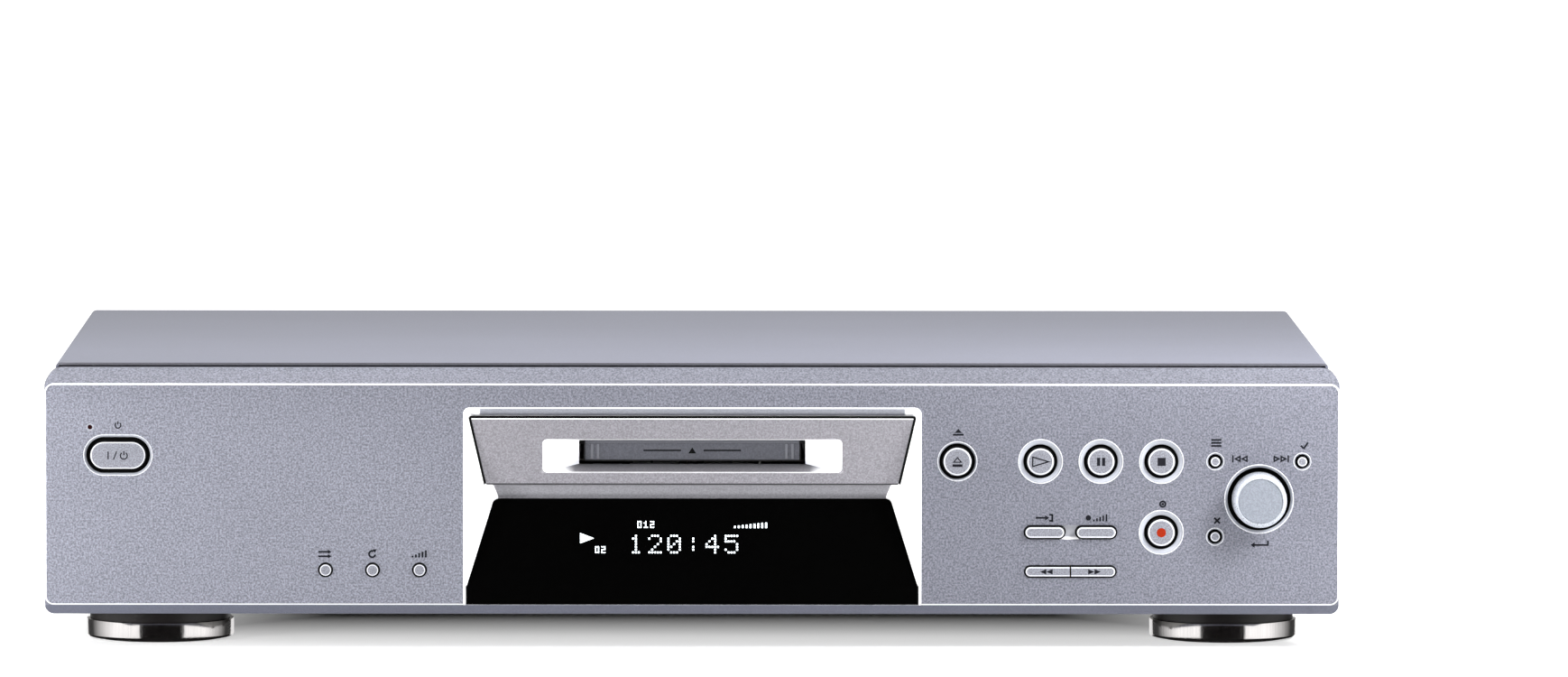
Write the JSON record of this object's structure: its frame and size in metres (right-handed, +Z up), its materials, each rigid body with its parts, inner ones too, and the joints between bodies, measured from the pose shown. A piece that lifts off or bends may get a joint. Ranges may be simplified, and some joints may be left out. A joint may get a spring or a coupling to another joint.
{
  "type": "minidisc deck",
  "caption": "Front-loading minidisc deck in a flat silver housing: slot with a hinged flap, slanted display window, transport buttons, jog knob and four round feet.",
  "frame": {"origin": "on the table under the middle of the deck's overall box", "axes": "+X to the right of someone who faces the deck, +Y towards its back, +Z up"},
  "size_m": [0.43, 0.285, 0.095],
  "materials": {
    "cover_paint": "fine speckled silver-grey paint",
    "front_paint": "moulding in fine speckled silver-grey paint",
    "rear_paint": "grey paint",
    "plated_steel": "zinc-plated sheet",
    "recess_silver": "bright silver moulding",
    "loader_paint": "warm grey satin paint",
    "window_black": "smoked black, polished",
    "flap_grey": "dark grey",
    "ring_silver": "bright turned",
    "key_silver": "satin silver",
    "knob_metal": "satin turned",
    "shaft_steel": "ground",
    "encoder_body": "black moulding",
    "board_green": "phenolic board",
    "switch_black": "black moulding",
    "tube_glass": "glass",
    "lamp_red": "unlit red lens",
    "component_black": "black",
    "core_iron": "varnished laminations",
    "coil_tape": "taped winding",
    "jack_metal": "nickel-plated",
    "socket_black": "black moulding",
    "ribbon_white": "flat cable",
    "moulded_black": "black moulding",
    "gear_white": "acetal",
    "motor_steel": "plated can",
    "turntable_metal": "turned",
    "foot_black": "black moulding",
    "ring_chrome": "polished",
    "pad_rubber": "soft pad",
    "screw_steel": "black oxide"
  },
  "bodies": {
    "deck": {"top_cover": "cover_paint", "chassis_pan": "plated_steel", "rear_panel": "rear_paint", "front_panel": "front_paint", "centre_recess": "recess_silver", "loading_panel": "loader_paint", "display_window": "window_black", "trim_rings": "ring_silver", "jog_encoder": "encoder_body", "key_boards": "board_green", "tact_switches": "switch_black", "display_tube": "tube_glass", "display_board": "board_green", "standby_lamp": "lamp_red", "circuit_boards": "board_green", "board_parts": "component_black", "transformer_core": "core_iron", "transformer_coil": "coil_tape", "phono_jacks": "jack_metal", "optical_jacks": "socket_black", "ac_inlet": "socket_black", "ribbon_cables": "ribbon_white", "mech_frame": "plated_steel", "drive_motors": "motor_steel", "spindle_motor": "motor_steel", "guide_rods": "shaft_steel", "front_feet": "foot_black", "foot_rings": "ring_chrome", "rear_feet": "foot_black", "foot_pads": "pad_rubber", "cover_screws": "screw_steel", "inner_screws": "screw_steel"},
    "power_button": {"power_button": "key_silver"},
    "play_mode_button": {"play_mode_button": "key_silver"},
    "repeat_button": {"repeat_button": "key_silver"},
    "level_button": {"level_button": "key_silver"},
    "eject_button": {"eject_button": "key_silver"},
    "play_button": {"play_button": "key_silver"},
    "pause_button": {"pause_button": "key_silver"},
    "stop_button": {"stop_button": "key_silver"},
    "record_button": {"record_button": "key_silver"},
    "input_button": {"input_button": "key_silver"},
    "record_mode_button": {"record_mode_button": "key_silver"},
    "rewind_button": {"rewind_button": "key_silver"},
    "forward_button": {"forward_button": "key_silver"},
    "menu_button": {"menu_button": "key_silver"},
    "yes_button": {"yes_button": "key_silver"},
    "clear_button": {"clear_button": "key_silver"},
    "plunger": {"encoder_plunger": "encoder_body"},
    "jog": {"jog_knob": "knob_metal", "jog_shaft": "shaft_steel"},
    "flap": {"slot_flap": "flap_grey"},
    "slider": {"load_slider": "moulded_black"},
    "holder": {"disc_holder": "plated_steel"},
    "loading_gear": {"load_gear": "gear_white"},
    "motor_pinion": {"load_pinion": "gear_white"},
    "disc_table": {"turntable": "turntable_metal"},
    "pickup": {"optical_pickup": "moulded_black"},
    "lead_screw": {"sled_screw": "shaft_steel"},
    "head": {"record_head": "shaft_steel"}
  },
  "joints": [
    {"name": "power_press", "type": "slide", "parent": "deck", "child": "power_button", "axis": [0, 1, 0], "range_m": [0, 0.0005], "stiffness_N_per_m": 150},
    {"name": "play_mode_press", "type": "slide", "parent": "deck", "child": "play_mode_button", "axis": [0, 1, 0], "range_m": [0, 0.0005], "stiffness_N_per_m": 150},
    {"name": "repeat_press", "type": "slide", "parent": "deck", "child": "repeat_button", "axis": [0, 1, 0], "range_m": [0, 0.0005], "stiffness_N_per_m": 150},
    {"name": "level_press", "type": "slide", "parent": "deck", "child": "level_button", "axis": [0, 1, 0], "range_m": [0, 0.0005], "stiffness_N_per_m": 150},
    {"name": "eject_press", "type": "slide", "parent": "deck", "child": "eject_button", "axis": [0, 1, 0], "range_m": [0, 0.0005], "stiffness_N_per_m": 150},
    {"name": "play_press", "type": "slide", "parent": "deck", "child": "play_button", "axis": [0, 1, 0], "range_m": [0, 0.0005], "stiffness_N_per_m": 150},
    {"name": "pause_press", "type": "slide", "parent": "deck", "child": "pause_button", "axis": [0, 1, 0], "range_m": [0, 0.0005], "stiffness_N_per_m": 150},
    {"name": "stop_press", "type": "slide", "parent": "deck", "child": "stop_button", "axis": [0, 1, 0], "range_m": [0, 0.0005], "stiffness_N_per_m": 150},
    {"name": "record_press", "type": "slide", "parent": "deck", "child": "record_button", "axis": [0, 1, 0], "range_m": [0, 0.0005], "stiffness_N_per_m": 150},
    {"name": "input_press", "type": "slide", "parent": "deck", "child": "input_button", "axis": [0, 1, 0], "range_m": [0, 0.0005], "stiffness_N_per_m": 150},
    {"name": "record_mode_press", "type": "slide", "parent": "deck", "child": "record_mode_button", "axis": [0, 1, 0], "range_m": [0, 0.0005], "stiffness_N_per_m": 150},
    {"name": "rewind_press", "type": "slide", "parent": "deck", "child": "rewind_button", "axis": [0, 1, 0], "range_m": [0, 0.0005], "stiffness_N_per_m": 150},
    {"name": "forward_press", "type": "slide", "parent": "deck", "child": "forward_button", "axis": [0, 1, 0], "range_m": [0, 0.0005], "stiffness_N_per_m": 150},
    {"name": "menu_press", "type": "slide", "parent": "deck", "child": "menu_button", "axis": [0, 1, 0], "range_m": [0, 0.0005], "stiffness_N_per_m": 150},
    {"name": "yes_press", "type": "slide", "parent": "deck", "child": "yes_button", "axis": [0, 1, 0], "range_m": [0, 0.0005], "stiffness_N_per_m": 150},
    {"name": "clear_press", "type": "slide", "parent": "deck", "child": "clear_button", "axis": [0, 1, 0], "range_m": [0, 0.0005], "stiffness_N_per_m": 150},
    {"name": "jog_press", "type": "slide", "parent": "deck", "child": "plunger", "axis": [0, 1, 0], "range_m": [0, 0.0005], "stiffness_N_per_m": 250},
    {"name": "jog_turn", "type": "hinge", "parent": "plunger", "child": "jog", "pos_m": [0.1883, -0.132, 0.0507], "axis": [0, 1, 0], "continuous": true},
    {"name": "flap_swing", "type": "hinge", "parent": "deck", "child": "flap", "pos_m": [0, -0.1167, 0.0685], "axis": [1, 0, 0], "range_deg": [0, 90], "stiffness_Nm_per_rad": 0.0006, "springref_deg": -17.19},
    {"name": "load_slide", "type": "slide", "parent": "deck", "child": "slider", "axis": [0, 1, 0], "range_m": [-0.012, 0]},
    {"name": "holder_drop", "type": "slide", "parent": "deck", "child": "holder", "axis": [0, 0, 1], "range_m": [-0.005, 0]},
    {"name": "load_gear_spin", "type": "hinge", "parent": "deck", "child": "loading_gear", "pos_m": [0.064, -0.0665, 0.0504], "axis": [0, 0, 1], "range_deg": [0, 114.6]},
    {"name": "load_pinion_spin", "type": "hinge", "parent": "deck", "child": "motor_pinion", "pos_m": [0.064, -0.0473, 0.0504], "axis": [0, 0, 1], "range_deg": [-343.8, 0]},
    {"name": "disc_spin", "type": "hinge", "parent": "deck", "child": "disc_table", "pos_m": [0, -0.0725, 0.0594], "axis": [0, 0, 1], "continuous": true},
    {"name": "sled_slide", "type": "slide", "parent": "deck", "child": "pickup", "axis": [0, 1, 0], "range_m": [0, 0.017]},
    {"name": "sled_screw_spin", "type": "hinge", "parent": "deck", "child": "lead_screw", "pos_m": [0.027, -0.0665, 0.0516], "axis": [0, 1, 0], "range_deg": [0, 3061]},
    {"name": "head_swing", "type": "hinge", "parent": "pickup", "child": "head", "pos_m": [0, -0.032, 0.074], "axis": [1, 0, 0], "range_deg": [0, 16], "stiffness_Nm_per_rad": 0.01, "springref_deg": -5.73}
  ],
  "couplings": [
    {"joint": "holder_drop", "follows": "load_slide", "ratio": 0.41667},
    {"joint": "load_gear_spin", "follows": "load_slide", "rad_per_m": -166.67},
    {"joint": "load_pinion_spin", "follows": "load_slide", "rad_per_m": 500},
    {"joint": "sled_screw_spin", "follows": "sled_slide", "rad_per_m": 3141.6}
  ]
}
